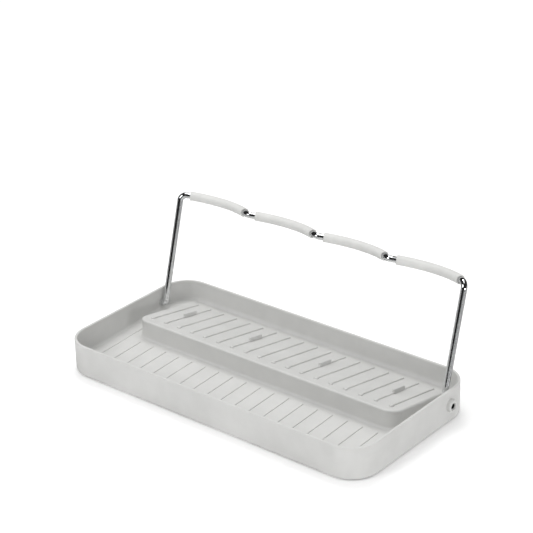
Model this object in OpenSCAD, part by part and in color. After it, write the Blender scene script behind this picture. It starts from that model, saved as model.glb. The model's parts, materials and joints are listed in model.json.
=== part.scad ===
// Folding bottle drying rack: a moulded drip tray with a sloping platform for the bottle
// mouths, and a bent-wire bail with four padded scallops that the bottles lean on.
// The bail folds forward and down into the tray. +X is to the right, +Y to the back.
// The origin is on the table, in the middle of the space that the rack takes with its bail up.

/* [Tray] */
// Length of the tray, left to right
tray_l = 360; // [330:1:380]
// Width of the tray, front to back
tray_w = 177; // [170:1:190]
// Height of the rim above the table
tray_h = 34; // [33:1:38]
// Outside radius of the upright corners
corner_r = 29; // [27:1:32]
// Thickness of the upright walls
wall = 2.8; // [2.4:0.1:3.2]
// Thickness of the floor and of the platform
plate = 2.4; // [2:0.1:2.6]
// Height of the wall's lower edge above the table
skirt_gap = 1.6; // [1:0.1:2]

/* [Channel floor] */
// Height of the channel floor's top on the tray's centre line
floor_h = 9.5; // [9:0.1:10]
// Slope of the channel floor, down towards the front, in degrees
floor_tilt = 2.4; // [1:0.1:3]
// Height of the ribs on the channel floor
floor_rib_h = 0.8; // [0.4:0.1:1]
// Width of the ribs on the channel floor
floor_rib_w = 1.2; // [0.8:0.1:1.6]

/* [Platform] */
// Length of the platform, left to right
deck_l = 317; // [310:1:320]
// Distance of the platform's front face in front of the tray's centre line
deck_front = 5.7; // [4:0.1:7]
// Height of the platform's plane on the tray's centre line
deck_h = 28.2; // [27:0.1:29]
// Slope of the platform, down towards the back, in degrees
deck_tilt = 10.7; // [9:0.1:11]
// Radius of the platform's two upright front corners
deck_corner_r = 13; // [8:1:16]
// Distance between neighbouring ribs
rib_pitch = 17.25; // [17:0.05:17.5]
// Height of the platform's ribs
deck_rib_h = 1.2; // [0.8:0.1:1.6]
// Width of the platform's ribs
deck_rib_w = 1.8; // [1.4:0.1:2.2]
// Radius of the round pad at the front end of each platform rib
pad_r = 1.9; // [1.5:0.1:2.5]
// Height of the stops that keep the bottle mouths from sliding back
stop_h = 4.4; // [3:0.1:5]
// Length of a stop
stop_l = 18; // [14:1:22]

/* [Bail] */
// Diameter of the bail's steel wire
wire_d = 6; // [5.6:0.1:6.2]
// Distance from the pivot axis to the crossbar's centre line
bail_h = 115; // [108:1:118]
// Backward lean of the bail when it is up, in degrees
bail_lean = 16.1; // [14:0.1:18]
// Distance of each arm's centre line from the middle of the tray
arm_x = 172.4; // [172.2:0.1:172.6]
// Position of the pivot axis behind the tray's centre line
pivot_y = 52.1; // [50:0.1:53]
// Height of the pivot axis above the table
pivot_z = 18.1; // [17.6:0.1:19]
// Distance between the middles of neighbouring scallops
scallop_pitch = 85.6; // [85.2:0.1:85.8]
// Depth of a scallop
scallop_depth = 13; // [12:0.5:14]
// Radius of the bend between two scallops
valley_r = 7; // [6:0.5:8]
// Radius of the bend above the pivot
foot_bend_r = 3.8; // [3.6:0.1:3.8]

/* [Sleeves, bushes and feet] */
// Outside diameter of the soft sleeves
sleeve_d = 9.2; // [8.6:0.1:9.6]
// Angle that half a sleeve covers around its scallop, in degrees
sleeve_angle = 31; // [26:1:32]
// Gap between the wire and whatever turns or slides on it, on the radius
running_gap = 0.05; // [0.02:0.01:0.1]
// Outside diameter of the bush's collar
bush_d = 12.2; // [11:0.1:13]
// How far the bush's collar stands out from the tray
bush_out = 4; // [3:0.1:5]
// Diameter of a foot
foot_d = 11.8; // [10:0.1:12]

/* [Hidden] */
$fn = 64;
reach = 400;                                     // longer than anything in the part
inner_l = tray_l - 2 * wall;
inner_w = tray_w - 2 * wall;
inner_r = corner_r - wall;
ribs_each_side = 9;                              // ribs on the platform, left or right of the middle
wire_r = wire_d / 2;
bore_r = wire_r + running_gap;
half_pitch = scallop_pitch / 2;
link = 0.6;                                      // length of the straight wire between two bends
link_r = wire_r + 0.1;                           // its radius, a hair over the bends'
link_lap = 0.05;                                 // how far it reaches into the bend at each end
arc_half = 2 * atan(scallop_depth / (half_pitch + link));   // half the angle that a scallop's arc covers
scallop_r = (half_pitch - link * cos(arc_half)) / sin(arc_half) - valley_r;   // on the centre line
last_arc_x = 1.5 * scallop_pitch + scallop_r * sin(arc_half);
end_bend_r = (arm_x - last_arc_x) / cos(arc_half) - link;
last_arc_y = scallop_depth - scallop_r * (1 - cos(arc_half));
valley_y = (end_bend_r + link) * sin(arc_half) - last_arc_y;
foot_x = tray_l / 2 - 15;
foot_y = tray_w / 2 - 22.5;
post_r = 9;
socket_top = skirt_gap + 1.4;
bush_shank_r = 4.2;
bail_back = pivot_y + bail_h * sin(bail_lean) + (valley_y + scallop_depth) * cos(bail_lean) + sleeve_d / 2;
tray_y = (tray_w / 2 - bail_back) / 2;           // the tray's centre line, from the origin

function floor_z(y) = floor_h + y * tan(floor_tilt);

// ---- shared shapes ----

module rounded_plan(l, w, r) {
    square([l - 2 * r, w], center = true);
    square([l, w - 2 * r], center = true);
    for (sx = [-1, 1], sy = [-1, 1])
        translate([sx * (l / 2 - r), sy * (w / 2 - r)])
            circle(r);
}

// Everything above a plane that passes through height h on the centre line.
module above(h, tilt) {
    translate([0, 0, h])
        rotate([tilt, 0, 0])
            translate([-reach / 2, -reach / 2, 0])
                cube([reach, reach, reach]);
}

module below(h, tilt) {
    translate([0, 0, h])
        rotate([tilt, 0, 0])
            translate([-reach / 2, -reach / 2, -reach])
                cube([reach, reach, reach]);
}

module inner_plan() {
    rounded_plan(inner_l, inner_w, inner_r);
}

// Plan of the platform: square at the back, rounded at its two front corners.
module deck_plan(inset) {
    half = deck_l / 2 - inset;
    front = -deck_front + inset;
    r = deck_corner_r - inset;
    translate([-half, front + r])
        square([2 * half, inner_w / 2 - front - r]);
    translate([-half + r, front])
        square([2 * (half - r), r + 1]);
    for (side = [-1, 1])
        translate([side * (half - r), front + r])
            circle(r);
}

module deck_block(inset) {
    intersection() {
        linear_extrude(tray_h + 10)
            deck_plan(inset);
        linear_extrude(tray_h + 10)
            inner_plan();
        below(deck_h - inset, -deck_tilt);
    }
}

module rib(x, from, to, w, h) {
    translate([x, 0, -plate / 4])
        linear_extrude(h + plate / 4) {
            translate([-w / 2, from])
                square([w, to - from]);
            for (end = [from, to])
                translate([0, end])
                    circle(w / 2, $fn = 24);
        }
}

// Places its children on the platform's plane: x, distance up the slope, height off the plane.
module on_deck() {
    translate([0, 0, deck_h])
        rotate([-deck_tilt, 0, 0])
            children();
}

module on_floor() {
    translate([0, 0, floor_h])
        rotate([floor_tilt, 0, 0])
            children();
}

// Moves its children from the tray's centre line to the origin.
module placed() {
    translate([0, tray_y, 0])
        children();
}

// ---- tray ----

module tray_shell() {
    difference() {
        translate([0, 0, skirt_gap])
            linear_extrude(tray_h - skirt_gap)
                rounded_plan(tray_l, tray_w, corner_r);
        difference() {
            intersection() {
                linear_extrude(tray_h + 10)
                    inner_plan();
                above(floor_h, floor_tilt);
            }
            deck_block(0);
        }
        intersection() {
            linear_extrude(tray_h)
                inner_plan();
            below(floor_h - plate, floor_tilt);
        }
        deck_block(plate);
        for (side = [-1, 1])
            translate([side * tray_l / 2, pivot_y, pivot_z])
                rotate([0, 90, 0])
                    cylinder(h = 4 * wall, r = bush_shank_r + running_gap, center = true);
    }
}

module floor_ribs() {
    on_floor()
        for (i = [0 : ribs_each_side], side = [-1, 1]) {
            x = side * (i + 0.5) * rib_pitch;
            front = i < ribs_each_side ? -74 : -62;
            back = i < ribs_each_side ? -15 : 34;
            rib(x, front, back, floor_rib_w, floor_rib_h);
        }
}

module deck_ribs() {
    on_deck()
        for (i = [0 : ribs_each_side - 1], side = [-1, 1]) {
            x = side * (i + 0.5) * rib_pitch;
            rib(x, 6, 74, deck_rib_w, deck_rib_h);
            translate([x, 6, -plate / 4])
                cylinder(h = plate / 4 + deck_rib_h + 0.5, r = pad_r, $fn = 32);
        }
}

// One stop under the middle of each scallop.
module mouth_stops() {
    on_deck()
        for (i = [2, 7], side = [-1, 1])
            translate([side * (i + 0.5) * rib_pitch, 42, stop_h / 2 - plate / 4])
                cube([2.6, stop_l, stop_h + plate / 2], center = true);
}

module foot_posts() {
    for (sx = [-1, 1], sy = [-1, 1])
        translate([sx * foot_x, sy * foot_y, skirt_gap])
            cylinder(h = floor_z(sy * foot_y) - plate / 2 - skirt_gap, r = post_r);
}

module tray() {
    color("gainsboro")
        placed()
            difference() {
                union() {
                    tray_shell();
                    floor_ribs();
                    deck_ribs();
                    mouth_stops();
                    foot_posts();
                }
                for (sx = [-1, 1], sy = [-1, 1])
                    translate([sx * foot_x, sy * foot_y, 0])
                        cylinder(h = socket_top, r = foot_d / 2 + running_gap);
            }
}

// ---- bail ----

// Stands its children on the pivot axis, leaning back: x, depth behind the arms, height.
module on_bail() {
    translate([0, pivot_y, pivot_z])
        rotate([-bail_lean, 0, 0])
            children();
}

module scallop_arc(i, half_angle) {
    translate([(i - 2.5) * scallop_pitch, valley_y + scallop_depth - scallop_r, bail_h])
        rotate([0, 0, 90 - half_angle])
            rotate_extrude(angle = 2 * half_angle, $fn = 180)
                translate([scallop_r, 0])
                    children();
}

module valley(i) {
    translate([i * scallop_pitch, valley_y + valley_r, bail_h])
        rotate([0, 0, 270 - arc_half])
            rotate_extrude(angle = 2 * arc_half, $fn = 96)
                translate([valley_r, 0])
                    circle(wire_r);
}

module link_wire() {
    cylinder(h = link + 2 * link_lap, r = link_r, center = true);
}

// The straight wire at both ends of a scallop's arc, before the next bend.
module links(i) {
    for (side = [0, 1])
        translate([(i - 2.5) * scallop_pitch, valley_y + last_arc_y, bail_h])
            mirror([side, 0, 0])
                translate([scallop_r * sin(arc_half), 0, 0])
                    rotate([0, 0, -arc_half])
                        rotate([0, 90, 0])
                            translate([0, 0, link / 2])
                                link_wire();
}

module bail_end() {
    translate([last_arc_x + link * cos(arc_half), valley_y + last_arc_y - link * sin(arc_half),
               bail_h - end_bend_r])
        rotate([90, 0, -arc_half])
            rotate_extrude(angle = 90, $fn = 96)
                translate([end_bend_r, 0])
                    circle(wire_r);
    translate([arm_x, 0, bail_h - end_bend_r - link / 2])
        link_wire();
    translate([arm_x, 0, foot_bend_r])
        cylinder(h = bail_h - end_bend_r - link - foot_bend_r, r = wire_r);
    translate([arm_x + foot_bend_r, 0, foot_bend_r])
        rotate([0, 180, 0])
            rotate([90, 0, 0])
                rotate_extrude(angle = 90, $fn = 96)
                    translate([foot_bend_r, 0])
                        circle(wire_r);
    translate([arm_x + foot_bend_r, 0, 0])
        rotate([0, 90, 0])
            cylinder(h = tray_l / 2 + bush_out - 0.8 - arm_x - foot_bend_r, r = wire_r);
}

module bail_wire() {
    color("silver")
        placed()
            on_bail() {
                for (i = [1 : 4]) {
                    scallop_arc(i, arc_half)
                        circle(wire_r);
                    links(i);
                }
                for (i = [-1 : 1])
                    valley(i);
                for (side = [0, 1])
                    mirror([side, 0, 0])
                        bail_end();
            }
}

module sleeve(i) {
    color("whitesmoke")
        placed()
            on_bail()
                scallop_arc(i, sleeve_angle)
                    difference() {
                        circle(sleeve_d / 2);
                        circle(bore_r);
                    }
}

// ---- bushes and feet ----

module pivot_bush() {
    color("gainsboro")
        placed()
            translate([tray_l / 2, pivot_y, pivot_z])
                rotate([0, 90, 0])
                    difference() {
                        union() {
                            cylinder(h = bush_out, r = bush_d / 2);
                            translate([0, 0, -wall])
                                cylinder(h = wall + 1, r = bush_shank_r);
                        }
                        translate([0, 0, -wall - 1])
                            cylinder(h = wall + bush_out + 2, r = bore_r);
                        translate([0, 0, bush_out - 1.5])
                            cylinder(h = 2, r = bore_r + 0.6);
                    }
}

module foot(sx, sy) {
    color("dimgray")
        placed()
            translate([sx * foot_x, sy * foot_y, 0])
                cylinder(h = socket_top, r = foot_d / 2);
}

tray();
bail_wire();
sleeve(1);  // sleeve_1
sleeve(2);  // sleeve_2
sleeve(3);  // sleeve_3
sleeve(4);  // sleeve_4
mirror([1, 0, 0]) pivot_bush();  // pivot_bush_left
pivot_bush();  // pivot_bush_right
foot(-1, -1);  // foot_front_left
foot(1, -1);  // foot_front_right
foot(-1, 1);  // foot_back_left
foot(1, 1);  // foot_back_right
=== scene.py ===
"""The looks of a folding bottle drying rack: a moulded drip tray and a bent-wire bail with four sleeves.

Everything is in metres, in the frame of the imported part: +X right, +Y back, +Z up, the table at z = 0.
"""

import json
import math

import bmesh
import bpy
from mathutils import Matrix, Vector


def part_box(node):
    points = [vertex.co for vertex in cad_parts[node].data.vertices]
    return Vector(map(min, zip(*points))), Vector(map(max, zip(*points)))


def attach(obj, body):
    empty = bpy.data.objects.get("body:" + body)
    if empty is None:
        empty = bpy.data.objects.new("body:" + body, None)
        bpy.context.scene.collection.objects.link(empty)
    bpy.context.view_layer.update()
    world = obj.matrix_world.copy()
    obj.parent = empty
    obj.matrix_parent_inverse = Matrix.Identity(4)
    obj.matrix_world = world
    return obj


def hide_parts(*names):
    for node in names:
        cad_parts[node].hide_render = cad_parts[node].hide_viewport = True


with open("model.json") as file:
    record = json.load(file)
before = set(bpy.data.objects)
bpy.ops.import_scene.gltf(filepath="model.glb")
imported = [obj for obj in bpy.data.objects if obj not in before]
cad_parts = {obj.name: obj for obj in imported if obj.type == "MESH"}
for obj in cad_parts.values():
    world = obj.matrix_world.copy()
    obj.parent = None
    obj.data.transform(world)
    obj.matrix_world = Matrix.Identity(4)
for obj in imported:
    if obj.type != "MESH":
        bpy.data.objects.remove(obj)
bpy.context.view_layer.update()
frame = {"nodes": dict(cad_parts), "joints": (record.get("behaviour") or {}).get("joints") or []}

MM = 0.001

# ---- sizes, the part's own ----

TRAY_LOW, TRAY_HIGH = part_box("tray")
TRAY_Y = (TRAY_LOW.y + TRAY_HIGH.y) / 2          # the tray's centre line
HALF_L = (TRAY_HIGH.x - TRAY_LOW.x) / 2
HALF_W = (TRAY_HIGH.y - TRAY_LOW.y) / 2
RIM_Z = TRAY_HIGH.z
SKIRT_Z = TRAY_LOW.z                             # lower edge of the wall
CORNER_R = 29 * MM
WALL = 2.8 * MM
PLATE = 2.4 * MM
FLOOR_H, FLOOR_TILT = 9.5 * MM, math.radians(2.4)
DECK_HALF_L, DECK_FRONT = 158.5 * MM, 5.7 * MM   # its front is this far before the centre line
DECK_H, DECK_TILT = 28.2 * MM, math.radians(10.7)
DECK_CORNER_R = 13 * MM
RIB_PITCH = 17.25 * MM
DECK_RIBS = 9                                    # ribs on the platform, on each side of the middle
STOPS = (2, 7)                                   # the ribs that carry a stop, counted from the middle
FEET = ("foot_front_left", "foot_front_right", "foot_back_left", "foot_back_right")

WIRE_END_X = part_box("bail_wire")[1].x
PIVOT = Vector(frame["joints"][0]["pos_m"])
WIRE_R = 3 * MM
BAIL_H, BAIL_LEAN = 115 * MM, math.radians(16.1)
ARM_X = 172.4 * MM
SCALLOP_PITCH, SCALLOP_DEPTH = 85.6 * MM, 13 * MM
VALLEY_R, FOOT_BEND_R = 7 * MM, 3.8 * MM
LINK = 0.6 * MM                                  # straight wire between two bends
SLEEVE_R, SLEEVE_ANGLE = 4.6 * MM, math.radians(31)
BORE_R = WIRE_R + 0.05 * MM
BUSH_R, BUSH_OUT, SHANK_R = 6.1 * MM, 4 * MM, 4.2 * MM

ARC_HALF = 2 * math.atan(SCALLOP_DEPTH / (SCALLOP_PITCH / 2 + LINK))
SCALLOP_R = (SCALLOP_PITCH / 2 - LINK * math.cos(ARC_HALF)) / math.sin(ARC_HALF) - VALLEY_R
LAST_ARC_X = 1.5 * SCALLOP_PITCH + SCALLOP_R * math.sin(ARC_HALF)
LAST_ARC_Y = SCALLOP_DEPTH - SCALLOP_R * (1 - math.cos(ARC_HALF))
END_BEND_R = (ARM_X - LAST_ARC_X) / math.cos(ARC_HALF) - LINK
VALLEY_Y = (END_BEND_R + LINK) * math.sin(ARC_HALF) - LAST_ARC_Y

# ---- sizes of the mouldings' soft edges ----

RIM_OUT_R, RIM_IN_R = 1.2 * MM, 1.0 * MM
SKIRT_R = 1.2 * MM
FLOOR_FILLET = 3 * MM
DECK_ROUND = 2.2 * MM                            # rounding round the platform's top edge
DECK_FILLET = 2.6 * MM                           # hollow fillet at the foot of its face
BACK_FILLET = 4.6 * MM                           # where the platform meets the back wall
SINK = 0.4 * MM                                  # how far a rib or a boss reaches into its plate
LAP = 0.2 * MM                                   # how far one plate reaches into another
EDGE_SHARE = 0.45                                # the most of a low face that one soft edge may take
SHARP_FROM = math.radians(35)                    # edges that bend more than this stay sharp
WELD = 0.002 * MM                                # vertices nearer than this are merged


def floor_z(y):
    """Height of the channel floor's top. Here and in deck_z, y counts from the tray's centre line."""
    return FLOOR_H + y * math.tan(FLOOR_TILT)


def deck_z(y):
    """Height of the platform's top."""
    return DECK_H - y * math.tan(DECK_TILT)


def foot_z(y):
    """Height of the foot of the platform's face, which sinks into the floor where the two planes cross."""
    least_face = 0.3 * MM
    return min(floor_z(y), deck_z(y) - least_face)


def quarter(steps):
    """Angles from 0 to 90 degrees."""
    return [math.pi / 2 * i / steps for i in range(steps + 1)]


# ---- mesh helpers ----

def make_object(name, bm, material, body, node):
    """Turns a bmesh into a smooth-shaded piece that rides on a body and stands for a CAD node."""
    bmesh.ops.remove_doubles(bm, verts=bm.verts, dist=WELD)
    bmesh.ops.recalc_face_normals(bm, faces=bm.faces)
    mesh = bpy.data.meshes.new(name)
    bm.to_mesh(mesh)
    bm.free()
    mesh.polygons.foreach_set("use_smooth", [True] * len(mesh.polygons))
    mesh.set_sharp_from_angle(angle=SHARP_FROM)
    mesh.materials.append(material)
    piece = bpy.data.objects.new(name, mesh)
    bpy.context.scene.collection.objects.link(piece)
    normals = piece.modifiers.new("normals", "WEIGHTED_NORMAL")
    normals.keep_sharp = True
    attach(piece, body)
    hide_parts(node)


def add_ring(bm, points):
    return [bm.verts.new(p) for p in points]


def bridge(bm, a, b, closed=True):
    """Quads between two rows of vertices of the same length."""
    count = len(a)
    for i in range(count if closed else count - 1):
        j = (i + 1) % count
        bm.faces.new((a[i], a[j], b[j], b[i]))


def loft(bm, rows):
    """A closed skin through rows of points, with a flat face at each end."""
    rings = [add_ring(bm, row) for row in rows]
    for a, b in zip(rings, rings[1:]):
        bridge(bm, a, b)
    bm.faces.new(rings[0])
    bm.faces.new(rings[-1])


def loft_round(bm, rows):
    """A closed skin through rows of points whose last row meets the first."""
    rings = [add_ring(bm, row) for row in rows]
    for a, b in zip(rings, rings[1:] + rings[:1]):
        bridge(bm, a, b)


def rounded_box_outline(half_x, half_y, r, steps):
    """Counter-clockwise points of a rectangle with round corners."""
    points = []
    for sx, sy, start in ((1, 1, 0), (-1, 1, 90), (-1, -1, 180), (1, -1, 270)):
        for a in quarter(steps):
            turn = a + math.radians(start)
            x = sx * (half_x - r) + r * math.cos(turn)
            y = sy * (half_y - r) + r * math.sin(turn)
            points.append((x, y))
    return points


def boss(bm, place, half_x, half_y, corner, height, round_r, steps=5):
    """A rib, pad or stop with a rounded top, standing on the local plane z = 0."""
    least_corner = 0.05 * MM
    shoulder = height - round_r
    levels = [(0, -SINK), (0, shoulder)]
    levels += [(round_r * (1 - math.cos(a)), shoulder + round_r * math.sin(a)) for a in quarter(4)[1:]]
    rows = []
    for inset, z in levels:
        r = max(corner - inset, least_corner)
        outline = rounded_box_outline(half_x - inset, half_y - inset, r, steps)
        rows.append([place @ Vector((x, y, z)) for x, y in outline])
    loft(bm, rows)


def lathe(bm, place, profile, steps=64):
    """Turns a closed profile of (radius, height) about the local Z axis."""
    turns = [2 * math.pi * i / steps for i in range(steps)]
    rows = []
    for r, z in profile:
        rows.append([place @ Vector((r * math.cos(a), r * math.sin(a), z)) for a in turns])
    loft_round(bm, rows)


# ---- tray ----

def corner_stations(sx, sy, start, end, steps=16):
    """Places round one corner's outside, between two angles in degrees: (x, y, outward x, outward y)."""
    stations = []
    for i in range(steps + 1):
        turn = math.radians(start + (end - start) * i / steps)
        nx, ny = math.cos(turn), math.sin(turn)
        x = sx * (HALF_L - CORNER_R) + CORNER_R * nx
        y = sy * (HALF_W - CORNER_R) + CORNER_R * ny
        stations.append((x, y, nx, ny))
    return stations


def wall_profile(with_floor):
    """The wall's section from the floor's top over the rim to the floor's underside.

    Each point is (distance in from the outside, height, whether the height counts from the floor's top).
    """
    profile = []
    for a in quarter(6):
        out = WALL + FLOOR_FILLET * (1 - math.sin(a)) if with_floor else WALL
        profile.append((out, FLOOR_FILLET * (1 - math.cos(a)), True))
    for a in quarter(5):
        profile.append((WALL - RIM_IN_R * (1 - math.cos(a)), RIM_Z - RIM_IN_R * (1 - math.sin(a)), False))
    for a in quarter(5):
        profile.append((RIM_OUT_R * (1 - math.sin(a)), RIM_Z - RIM_OUT_R * (1 - math.cos(a)), False))
    for a in quarter(5):
        profile.append((SKIRT_R * (1 - math.cos(a)), SKIRT_Z + SKIRT_R * (1 - math.sin(a)), False))
    chamfer = SKIRT_R / 3
    profile.append((WALL - chamfer, SKIRT_Z, False))
    profile.append((WALL, SKIRT_Z + chamfer, False))
    profile.append((WALL, -PLATE, True))
    return profile


def wall_row(station, with_floor):
    x, y, nx, ny = station
    row = []
    for inward, height, on_floor in wall_profile(with_floor):
        px, py = x - nx * inward, y - ny * inward
        z = floor_z(py) + height if on_floor else height
        row.append(Vector((px, py + TRAY_Y, z)))
    return row


def build_pan(bm):
    """The wall all round with the floor of the channel and of the two arm slots, as one closed skin."""
    slot_x = DECK_HALF_L - PLATE / 2             # hidden inside the platform's side wall
    slot = math.degrees(math.acos((slot_x - HALF_L + CORNER_R) / (CORNER_R - WALL)))
    floored = corner_stations(1, 1, slot, 0) + corner_stations(1, -1, 0, -90)
    floored += corner_stations(-1, -1, -90, -180) + corner_stations(-1, 1, 180, 180 - slot)
    behind = corner_stations(-1, 1, 180 - slot, 90, steps=4) + corner_stations(1, 1, 90, slot, steps=4)
    rings = [add_ring(bm, wall_row(s, True)) for s in floored]
    bare = [add_ring(bm, wall_row(s, False)) for s in behind]
    loop = rings + bare
    for a, b in zip(loop, loop[1:] + loop[:1]):
        bridge(bm, a, b, closed=False)
    for a, b in zip(bare, bare[1:]):
        bm.faces.new((a[0], b[0], b[-1], a[-1]))

    inner = []                                   # the floor's inner edge, inside the platform's wall
    inset = PLATE / 2
    r = DECK_CORNER_R - inset
    front = -DECK_FRONT + inset
    for side, start in ((-1, 180), (1, 270)):
        for a in quarter(8):
            turn = a + math.radians(start)
            inner.append((side * (slot_x - r) + r * math.cos(turn), front + r + r * math.sin(turn)))
    top = add_ring(bm, [Vector((x, y + TRAY_Y, floor_z(y))) for x, y in inner])
    under = add_ring(bm, [Vector((x, y + TRAY_Y, floor_z(y) - PLATE)) for x, y in inner])
    bridge(bm, top, under, closed=False)
    bm.faces.new((top[0], under[0], bare[0][-1], bare[0][0], rings[-1][0]))
    bm.faces.new((top[-1], rings[0][0], bare[-1][0], bare[-1][-1], under[-1]))
    bm.faces.new([ring[0] for ring in rings] + top)
    bm.faces.new([ring[-1] for ring in rings] + under)


def deck_stations():
    """Places round the platform, from the back right round the front to the back left."""
    steps = 12
    crowding = 1.5                               # the rows crowd towards the back, where the face gets low
    end = HALF_W - WALL + 1 * MM                 # inside the back wall
    front = DECK_CORNER_R - DECK_FRONT
    side_y = [end - (end - front) * (i / steps) ** crowding for i in range(steps)]
    stations = [(DECK_HALF_L, y, 1, 0) for y in side_y]
    for side, start in ((1, 0), (-1, -90)):
        for a in quarter(steps):
            turn = math.radians(start) - a
            nx, ny = math.cos(turn), math.sin(turn)
            x = side * (DECK_HALF_L - DECK_CORNER_R) + DECK_CORNER_R * nx
            stations.append((x, front + DECK_CORNER_R * ny, nx, ny))
    return stations + [(-DECK_HALF_L, y, -1, 0) for y in reversed(side_y)]


def deck_row(station):
    """The platform's wall, from its top plane down the outside and up the inside."""
    x, y, nx, ny = station
    most = EDGE_SHARE * (deck_z(y) - foot_z(y))
    edge, fillet = min(DECK_ROUND, most), min(DECK_FILLET, most)
    profile = [(edge * (1 - math.sin(a)), -edge * (1 - math.cos(a)), deck_z) for a in quarter(7)]
    profile += [(-fillet * (1 - math.cos(a)), fillet * (1 - math.sin(a)), foot_z) for a in quarter(6)]
    profile += [(-fillet, -SINK, foot_z), (0, -SINK, foot_z), (0, LAP - PLATE, foot_z),
                (PLATE, LAP - PLATE, foot_z), (PLATE, -PLATE, deck_z)]
    row = []
    for inward, height, plane in profile:
        px, py = x - nx * inward, y - ny * inward
        row.append(Vector((px, py + TRAY_Y, plane(py) + height)))
    return row


def build_deck(bm):
    """The hollow platform, with a rounded top edge and a fillet at its foot."""
    rings = [add_ring(bm, deck_row(s)) for s in deck_stations()]
    for a, b in zip(rings, rings[1:]):
        bridge(bm, a, b, closed=False)
    bm.faces.new([ring[0] for ring in rings])
    bm.faces.new([ring[-1] for ring in reversed(rings)])
    bm.faces.new(rings[0] + list(reversed(rings[-1])))


def build_back_fillet(bm):
    """The hollow fillet between the platform and the back wall."""
    wall_y = HALF_W - WALL
    rows = []
    for x in (DECK_HALF_L, -DECK_HALF_L):
        row = [Vector((x, wall_y + SINK + TRAY_Y, deck_z(wall_y) - SINK))]
        row.append(Vector((x, wall_y + SINK + TRAY_Y, deck_z(wall_y) + BACK_FILLET)))
        for a in quarter(8):
            y = wall_y - BACK_FILLET * (1 - math.cos(a))
            row.append(Vector((x, y + TRAY_Y, deck_z(y) + BACK_FILLET * (1 - math.sin(a)))))
        y = wall_y - BACK_FILLET
        row.append(Vector((x, y + TRAY_Y, deck_z(y) - SINK)))
        rows.append(row)
    loft(bm, rows)


def on_deck(x, y):
    """The frame of a boss that stands on the platform."""
    return (Matrix.Translation((0, TRAY_Y, DECK_H)) @ Matrix.Rotation(-DECK_TILT, 4, "X")
            @ Matrix.Translation((x, y, 0)))


def on_floor(x, y):
    """The frame of a boss that stands on the channel floor."""
    return (Matrix.Translation((0, TRAY_Y, FLOOR_H)) @ Matrix.Rotation(FLOOR_TILT, 4, "X")
            @ Matrix.Translation((x, y, 0)))


def build_ribs(bm):
    """Ribs on the platform with a pad at their front end, ribs on the floor, and the four stops."""
    deck_from, deck_to = 6 * MM, 74 * MM
    rib_w, rib_h = 2.1 * MM, 1.25 * MM
    pad_r, pad_h, pad_round = 2.3 * MM, 1.75 * MM, 1.1 * MM
    channel_run, slot_run = (-74 * MM, -15 * MM), (-62 * MM, 34 * MM)
    floor_w, floor_h = 1.2 * MM, 0.8 * MM
    stop_w, stop_l, stop_h, stop_at = 2.6 * MM, 18 * MM, 4.4 * MM, 42 * MM
    stop_corner, stop_round = 0.8 * MM, 0.7 * MM
    rib_round, floor_round = 0.42 * rib_w, 0.45 * floor_w
    rib_middle, rib_half = (deck_from + deck_to) / 2, (deck_to - deck_from + rib_w) / 2
    for side in (-1, 1):
        for i in range(DECK_RIBS + 1):
            x = side * (i + 0.5) * RIB_PITCH
            front, back = channel_run if i < DECK_RIBS else slot_run
            boss(bm, on_floor(x, (front + back) / 2), floor_w / 2, (back - front + floor_w) / 2,
                 floor_w / 2, floor_h, floor_round)
        for i in range(DECK_RIBS):
            x = side * (i + 0.5) * RIB_PITCH
            boss(bm, on_deck(x, rib_middle), rib_w / 2, rib_half, rib_w / 2, rib_h, rib_round)
            boss(bm, on_deck(x, deck_from), pad_r, pad_r, pad_r, pad_h, pad_round, steps=8)
        for i in STOPS:
            x = side * (i + 0.5) * RIB_PITCH
            boss(bm, on_deck(x, stop_at), stop_w / 2, stop_l / 2, stop_corner, stop_h, stop_round)


def build_posts(bm):
    """The round post over each foot, with the socket that the foot sits in."""
    post_r, bevel, core, play = 9 * MM, 0.5 * MM, 0.1 * MM, 0.05 * MM
    for name in FEET:
        low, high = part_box(name)
        x, y = (low.x + high.x) / 2, (low.y + high.y) / 2
        socket_r = (high.x - low.x) / 2 + play
        top = floor_z(y - TRAY_Y) - PLATE / 2
        profile = [(core, top), (post_r, top), (post_r, SKIRT_Z + bevel), (post_r - bevel, SKIRT_Z),
                   (socket_r + bevel / 2, SKIRT_Z), (socket_r, SKIRT_Z + bevel / 2), (socket_r, high.z),
                   (core, high.z)]
        lathe(bm, Matrix.Translation((x, y, 0)), profile, steps=48)


def build_tray(material):
    """The whole moulding, as one piece."""
    bm = bmesh.new()
    build_pan(bm)
    build_deck(bm)
    build_back_fillet(bm)
    build_ribs(bm)
    build_posts(bm)
    make_object("drip_tray", bm, material, "tray", "tray")


def build_bush(side, material):
    """The round boss that the wire's end turns in, with a rounded collar and a bevelled hole."""
    edge, bevel = 1.0 * MM, 0.3 * MM
    mouth_r, mouth_floor = BORE_R + 0.6 * MM, BUSH_OUT - 1.5 * MM
    shank_end = -WALL - 0.3 * MM                 # just proud of the wall's inside
    profile = [(BUSH_R, 0)]
    profile += [(BUSH_R - edge * (1 - math.cos(a)), BUSH_OUT - edge * (1 - math.sin(a))) for a in quarter(6)]
    profile += [(mouth_r + bevel, BUSH_OUT), (mouth_r, BUSH_OUT - bevel)]
    profile += [(mouth_r, mouth_floor), (BORE_R, mouth_floor)]
    profile += [(BORE_R, shank_end), (SHANK_R, shank_end), (SHANK_R, 0)]
    outward = Matrix.Rotation(side * math.pi / 2, 4, "Y")
    place = Matrix.Translation((side * HALF_L, PIVOT.y, PIVOT.z)) @ outward
    bm = bmesh.new()
    lathe(bm, place, profile)
    name = "right" if side > 0 else "left"
    make_object("bush_" + name, bm, material, "tray", "pivot_bush_" + name)


# ---- bail ----

# The bail's own frame, which stands on the pivot and leans back
BAIL = Matrix.Translation(PIVOT) @ Matrix.Rotation(-BAIL_LEAN, 4, "X")
SLEEVE_START, SLEEVE_END = math.pi / 2 - SLEEVE_ANGLE, math.pi / 2 + SLEEVE_ANGLE


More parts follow.
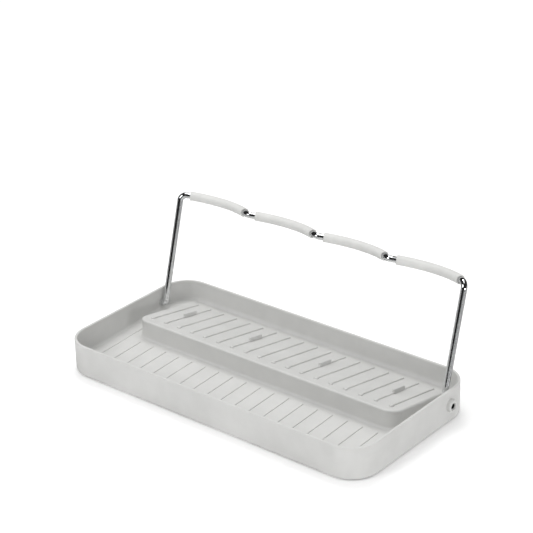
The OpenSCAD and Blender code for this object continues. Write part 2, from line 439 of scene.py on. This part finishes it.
def arc_points(centre, across, up, r, start, end, step):
    """Points on an arc in the plane of two unit vectors."""
    count = max(2, math.ceil(abs(end - start) / step))
    turns = [start + (end - start) * i / count for i in range(count + 1)]
    return [centre + r * (math.cos(a) * across + math.sin(a) * up) for a in turns]


def scallop_centre(i):
    """The middle of a scallop's arc, counted from 1 at the left."""
    return Vector(((i - 2.5) * SCALLOP_PITCH, VALLEY_Y + SCALLOP_DEPTH - SCALLOP_R, BAIL_H))


def half_bail_path():
    """The wire's centre line from its right end to the middle, before the bail leans back."""
    ex, ey, ez = Vector((1, 0, 0)), Vector((0, 1, 0)), Vector((0, 0, 1))
    fine, coarse = math.radians(6), math.radians(1.5)
    down_slope = math.cos(ARC_HALF) * ex - math.sin(ARC_HALF) * ey
    foot = Vector((ARM_X + FOOT_BEND_R, 0, FOOT_BEND_R))
    beside_bend = 3 * MM                         # a point here keeps the wire's end straight
    path = [Vector((WIRE_END_X, 0, 0)), Vector((foot.x + beside_bend, 0, 0))]
    path += arc_points(foot, -ez, -ex, FOOT_BEND_R, 0, math.pi / 2, fine)
    end_centre = Vector((LAST_ARC_X, VALLEY_Y + LAST_ARC_Y, BAIL_H - END_BEND_R)) + LINK * down_slope
    path += arc_points(end_centre, down_slope, ez, END_BEND_R, 0, math.pi / 2, fine)
    upper, lower = math.pi / 2 - ARC_HALF, math.pi / 2 + ARC_HALF
    path += arc_points(scallop_centre(4), ex, ey, SCALLOP_R, upper, lower, coarse)
    valley = Vector((SCALLOP_PITCH, VALLEY_Y + VALLEY_R, BAIL_H))
    path += arc_points(valley, ex, ey, VALLEY_R, ARC_HALF - math.pi / 2, -ARC_HALF - math.pi / 2, fine)
    path += arc_points(scallop_centre(3), ex, ey, SCALLOP_R, upper, lower, coarse)
    middle = Vector((0, VALLEY_Y + VALLEY_R, BAIL_H))
    path += arc_points(middle, ex, ey, VALLEY_R, ARC_HALF - math.pi / 2, -math.pi / 2, fine)
    return path


def tube_rows(path, radii, sides):
    """Rings round a path, with each ring's frame carried on from the last so that it never twists."""
    rows = []
    tangent = (path[1] - path[0]).normalized()
    normal = tangent.orthogonal().normalized()
    for i, point in enumerate(path):
        ahead = path[min(i + 1, len(path) - 1)] - path[max(i - 1, 0)]
        new_tangent = ahead.normalized()
        normal = tangent.rotation_difference(new_tangent) @ normal
        tangent = new_tangent
        side = tangent.cross(normal)
        turns = [2 * math.pi * k / sides for k in range(sides)]
        rows.append([point + radii[i] * (math.cos(a) * normal + math.sin(a) * side) for a in turns])
    return rows


def build_wire(material):
    """The bent wire, from one end to the other, with its two ends rounded off."""
    bevel = 0.6 * MM
    # (distance in from the wire's end, radius)
    tip = [(0, WIRE_R - bevel), (0.4 * bevel, WIRE_R - 0.3 * bevel), (bevel, WIRE_R)]
    half = half_bail_path()
    half = [half[0] - Vector((inward, 0, 0)) for inward, _ in tip] + half[1:]
    path = half + [Vector((-p.x, p.y, p.z)) for p in reversed(half[:-1])]
    radii = [WIRE_R] * len(path)
    for i, (_, r) in enumerate(tip):
        radii[i] = radii[-1 - i] = r
    bm = bmesh.new()
    loft(bm, [[BAIL @ p for p in row] for row in tube_rows(path, radii, sides=40)])
    make_object("bail", bm, material, "bail", "bail_wire")


def build_sleeve(i, material):
    """A soft tube round the wire's scallop, with rounded ends."""
    lip, mouth = 0.9 * MM, 0.2 * MM              # the roundings of its ends, outside and at the bore
    lip_turn = lip / SCALLOP_R
    count, sides = 60, 48
    start, end = SLEEVE_START, SLEEVE_END
    outer = [start + lip_turn + (end - start - 2 * lip_turn) * k / count for k in range(1, count)]
    # (place along the scallop, radius), once round the wall's section
    first = [(start + lip_turn * (1 - math.sin(a)), SLEEVE_R - lip * (1 - math.cos(a))) for a in quarter(6)]
    first.sort()
    last = [(math.pi - turn, r) for turn, r in reversed(first)]
    section = first + [(turn, SLEEVE_R) for turn in outer] + last
    section += [(end, BORE_R + mouth), (end - lip_turn / 3, BORE_R)]
    section += [(math.pi - turn, BORE_R) for turn in outer]
    section += [(start + lip_turn / 3, BORE_R), (start, BORE_R + mouth)]
    centre, ez = scallop_centre(i), Vector((0, 0, 1))
    round_wire = [2 * math.pi * k / sides for k in range(sides)]
    rows = []
    for turn, r in section:
        out = Vector((math.cos(turn), math.sin(turn), 0))
        middle = centre + SCALLOP_R * out
        rows.append([BAIL @ (middle + r * (math.cos(a) * out + math.sin(a) * ez)) for a in round_wire])
    bm = bmesh.new()
    loft_round(bm, rows)
    make_object(f"soft_sleeve_{i}", bm, material, "bail", f"sleeve_{i}")


# ---- materials ----

def grey(value):
    return (value, value, value)


def tint(colour, factor):
    return tuple(c * factor for c in colour)


def new_material(name, **inputs):
    """A Principled material, with constants set on the shader's own sockets."""
    material = bpy.data.materials.new(name)
    material.use_nodes = True
    shader = material.node_tree.nodes["Principled BSDF"]
    for key, value in inputs.items():
        shader.inputs[key.replace("_", " ")].default_value = value
    return material, shader


def noise(material, scale, detail=2):
    """A noise texture in object space, in features per metre."""
    nodes = material.node_tree.nodes
    place, texture = nodes.new("ShaderNodeTexCoord"), nodes.new("ShaderNodeTexNoise")
    texture.inputs["Scale"].default_value = scale
    texture.inputs["Detail"].default_value = detail
    material.node_tree.links.new(place.outputs["Object"], texture.inputs["Vector"])
    return texture.outputs["Fac"]


def ramp(owner, source, low, high, start=0.35, end=0.65):
    """Maps a value to a blend of two colours, in a material or a world."""
    node = owner.node_tree.nodes.new("ShaderNodeValToRGB")
    node.color_ramp.elements[0].position, node.color_ramp.elements[1].position = start, end
    node.color_ramp.elements[0].color = (*low, 1)
    node.color_ramp.elements[1].color = (*high, 1)
    owner.node_tree.links.new(source, node.inputs["Fac"])
    return node.outputs["Color"]


def remap(material, source, low, high):
    """Maps a noise's usual range to a range of roughness."""
    node = material.node_tree.nodes.new("ShaderNodeMapRange")
    node.inputs["From Min"].default_value, node.inputs["From Max"].default_value = 0.3, 0.7
    node.inputs["To Min"].default_value, node.inputs["To Max"].default_value = low, high
    material.node_tree.links.new(source, node.inputs["Value"])
    return node.outputs["Result"]


def bump(material, source, distance, strength, under=None):
    """Turns a value into relief, on top of another relief if there is one."""
    node = material.node_tree.nodes.new("ShaderNodeBump")
    node.inputs["Distance"].default_value = distance
    node.inputs["Strength"].default_value = strength
    material.node_tree.links.new(source, node.inputs["Height"])
    if under is not None:
        material.node_tree.links.new(under, node.inputs["Normal"])
    return node.outputs["Normal"]


def moulded_plastic():
    """Pale grey moulded plastic with a fine spark-eroded grain and a faint flow mottle."""
    colour = (0.61, 0.61, 0.597)
    material, shader = new_material("tray plastic", Specular_IOR_Level=0.42)
    links = material.node_tree.links
    mottle = ramp(material, noise(material, 55, detail=3), tint(colour, 0.975), tint(colour, 1.02))
    polish = remap(material, noise(material, 900), low=0.44, high=0.56)
    waves = bump(material, noise(material, 40, detail=1), distance=0.05 * MM, strength=0.35)
    grain = bump(material, noise(material, 2400), distance=0.012 * MM, strength=0.5, under=waves)
    links.new(mottle, shader.inputs["Base Color"])
    links.new(polish, shader.inputs["Roughness"])
    links.new(grain, shader.inputs["Normal"])
    return material


def polished_chrome():
    """Chrome-plated wire, with faint waves and a slightly uneven polish."""
    colour = (0.86, 0.87, 0.88)
    material, shader = new_material("chrome", Metallic=1.0)
    links = material.node_tree.links
    clouds = ramp(material, noise(material, 260, detail=3), tint(colour, 0.95), colour)
    polish = remap(material, noise(material, 500, detail=3), low=0.03, high=0.07)
    waves = bump(material, noise(material, 180), distance=0.02 * MM, strength=0.25)
    links.new(clouds, shader.inputs["Base Color"])
    links.new(polish, shader.inputs["Roughness"])
    links.new(waves, shader.inputs["Normal"])
    return material


def soft_silicone():
    """Off-white silicone with a satin skin."""
    colour = (0.68, 0.68, 0.665)
    material, shader = new_material("sleeve silicone", Specular_IOR_Level=0.35, Sheen_Weight=0.08)
    links = material.node_tree.links
    mottle = ramp(material, noise(material, 90, detail=3), tint(colour, 0.96), tint(colour, 1.02))
    polish = remap(material, noise(material, 700), low=0.5, high=0.66)
    waves = bump(material, noise(material, 110, detail=1), distance=0.05 * MM, strength=0.3)
    grain = bump(material, noise(material, 2600), distance=0.01 * MM, strength=0.5, under=waves)
    links.new(mottle, shader.inputs["Base Color"])
    links.new(polish, shader.inputs["Roughness"])
    links.new(grain, shader.inputs["Normal"])
    return material


def foot_rubber():
    """Dark grey rubber, rough and a little dusty."""
    material, shader = new_material("foot rubber", Specular_IOR_Level=0.3)
    links = material.node_tree.links
    dust = ramp(material, noise(material, 300, detail=4), low=grey(0.045), high=(0.12, 0.12, 0.118))
    polish = remap(material, noise(material, 1200), low=0.7, high=0.9)
    grain = bump(material, noise(material, 1800, detail=3), distance=0.03 * MM, strength=0.6)
    links.new(dust, shader.inputs["Base Color"])
    links.new(polish, shader.inputs["Roughness"])
    links.new(grain, shader.inputs["Normal"])
    return material


# ---- stage ----

TABLE_GLOW = 0.12                                # the light table's own light
TABLE_HALF, TABLE_CORNER, TABLE_THICK = 6, 1, 0.01   # metres
PAINTED_REFLECTION_BANDS, PAINTED_REFLECTION_PHASE = 2.4, 1.6                # how close the painted reflection's strips lie, and where the first one starts

CAMERA_PLACE = Vector((0.976116, -1.147826 + TRAY_Y, 0.848913))
AZIMUTH, ELEVATION, ROLL = math.radians(40.12), math.radians(25.56), math.radians(-1.73)
LENS, SENSOR = 121.52, 36

LIGHTS = (
    # name, place, what it's aimed at, size, watts
    ("key", (-0.5, -1.4, 1.0), (0, 0, 0), 0.8, 7),
    ("ceiling", (-0.4, 0.5, 1.6), (0, 0, 0), 0.7, 8),
    ("side", (1.5, -0.45, 0.14), (0.18, 0, 0.02), 0.3, 5),
)


def split_by_gloss(tree, seen, reflected, kind):
    """A mix that shows one thing in glossy reflections and another everywhere else."""
    path, mix = tree.nodes.new("ShaderNodeLightPath"), tree.nodes.new(kind)
    if kind == "ShaderNodeMix":
        mix.data_type = "RGBA"
        factor, first, second, result = "Factor", "A", "B", "Result"
    else:
        factor, first, second, result = "Fac", 1, 2, "Shader"
    tree.links.new(path.outputs["Is Glossy Ray"], mix.inputs[factor])
    tree.links.new(seen, mix.inputs[first])
    tree.links.new(reflected, mix.inputs[second])
    return mix.outputs[result]


def table_white():
    """A white light table. Glossy rays alone see a painted reflection on it, dark bands between bright
    strips, for the wire's chrome to mirror.
    """
    material, shader = new_material("table", Specular_IOR_Level=0.05)
    shader.inputs["Emission Color"].default_value = (*grey(1), 1)
    shader.inputs["Emission Strength"].default_value = TABLE_GLOW
    nodes, links = material.node_tree.nodes, material.node_tree.links
    mottle = ramp(material, noise(material, 3), low=grey(0.93), high=grey(0.95))
    polish = remap(material, noise(material, 40), low=0.8, high=0.9)
    links.new(mottle, shader.inputs["Base Color"])
    links.new(polish, shader.inputs["Roughness"])
    # Painted reflection: dark bands between bright strips that only glossy rays see, so the chrome shows them
    place, wave = nodes.new("ShaderNodeTexCoord"), nodes.new("ShaderNodeTexWave")
    wave.wave_type, wave.bands_direction = "BANDS", "X"
    wave.inputs["Scale"].default_value = PAINTED_REFLECTION_BANDS
    wave.inputs["Phase Offset"].default_value = PAINTED_REFLECTION_PHASE
    wave.inputs["Distortion"].default_value = 0.3
    links.new(place.outputs["Object"], wave.inputs["Vector"])
    painted_reflection = nodes.new("ShaderNodeEmission")
    strips = ramp(material, wave.outputs["Fac"], low=grey(0.01), high=grey(1), start=0.62, end=0.7)
    links.new(strips, painted_reflection.inputs["Color"])
    surface = split_by_gloss(material.node_tree, shader.outputs["BSDF"], painted_reflection.outputs["Emission"],
                             "ShaderNodeMixShader")
    links.new(surface, nodes["Material Output"].inputs["Surface"])
    return material


def build_table(material):
    bm = bmesh.new()
    outline = rounded_box_outline(TABLE_HALF, TABLE_HALF, TABLE_CORNER, steps=8)
    loft(bm, [[Vector((x, y, z)) for x, y in outline] for z in (-TABLE_THICK, 0)])
    bmesh.ops.recalc_face_normals(bm, faces=bm.faces)
    mesh = bpy.data.meshes.new("table")
    bm.to_mesh(mesh)
    bm.free()
    mesh.materials.append(material)
    table = bpy.data.objects.new("table", mesh)
    bpy.context.scene.collection.objects.link(table)


def light_room():
    """A bright ceiling over a darker horizon. What the wire reflects is a small bright box in a dark room."""
    world = bpy.data.worlds.new("studio")
    bpy.context.scene.world = world
    world.use_nodes = True
    nodes, links = world.node_tree.nodes, world.node_tree.links
    place, split = nodes.new("ShaderNodeTexCoord"), nodes.new("ShaderNodeSeparateXYZ")
    links.new(place.outputs["Generated"], split.inputs["Vector"])
    up = split.outputs["Z"]
    room = ramp(world, up, low=grey(0.06), high=grey(1), start=0.2, end=0.7)
    box = ramp(world, up, low=grey(0.02), high=grey(1.1), start=0.93, end=0.96)
    light = split_by_gloss(world.node_tree, room, box, "ShaderNodeMix")
    links.new(light, nodes["Background"].inputs["Color"])


def area_light(name, place, target, size, power):
    data = bpy.data.lights.new(name, "AREA")
    data.shape, data.size, data.energy = "DISK", size, power
    lamp = bpy.data.objects.new(name, data)
    lamp.location = place
    lamp.rotation_euler = (Vector(target) - Vector(place)).to_track_quat("-Z", "Y").to_euler()
    bpy.context.scene.collection.objects.link(lamp)


def place_camera():
    """The photograph's view: from the right and above, with a long lens."""
    flat = math.cos(ELEVATION)
    back = Vector((math.sin(AZIMUTH) * flat, -math.cos(AZIMUTH) * flat, math.sin(ELEVATION)))
    right = (-back).cross(Vector((0, 0, 1))).normalized()
    up = right.cross(-back)
    rolled_right = right * math.cos(ROLL) + up * math.sin(ROLL)
    rolled_up = up * math.cos(ROLL) - right * math.sin(ROLL)
    data = bpy.data.cameras.new("camera")
    data.lens, data.sensor_width = LENS, SENSOR
    data.clip_start, data.clip_end = 0.05, 50
    camera = bpy.data.objects.new("camera", data)
    turn = Matrix((rolled_right, rolled_up, back)).transposed().to_4x4()
    camera.matrix_world = Matrix.Translation(CAMERA_PLACE) @ turn
    bpy.context.scene.collection.objects.link(camera)
    bpy.context.scene.camera = camera


place_camera()
plastic, chrome, silicone, rubber = moulded_plastic(), polished_chrome(), soft_silicone(), foot_rubber()
build_tray(plastic)
for side in (-1, 1):
    build_bush(side, plastic)
build_wire(chrome)
for i in range(1, 5):
    build_sleeve(i, silicone)
for name in FEET:
    frame["nodes"][name].material_slots[0].material = rubber
build_table(table_white())
light_room()
for light in LIGHTS:
    area_light(*light)
bpy.context.scene.view_settings.view_transform = "Standard"
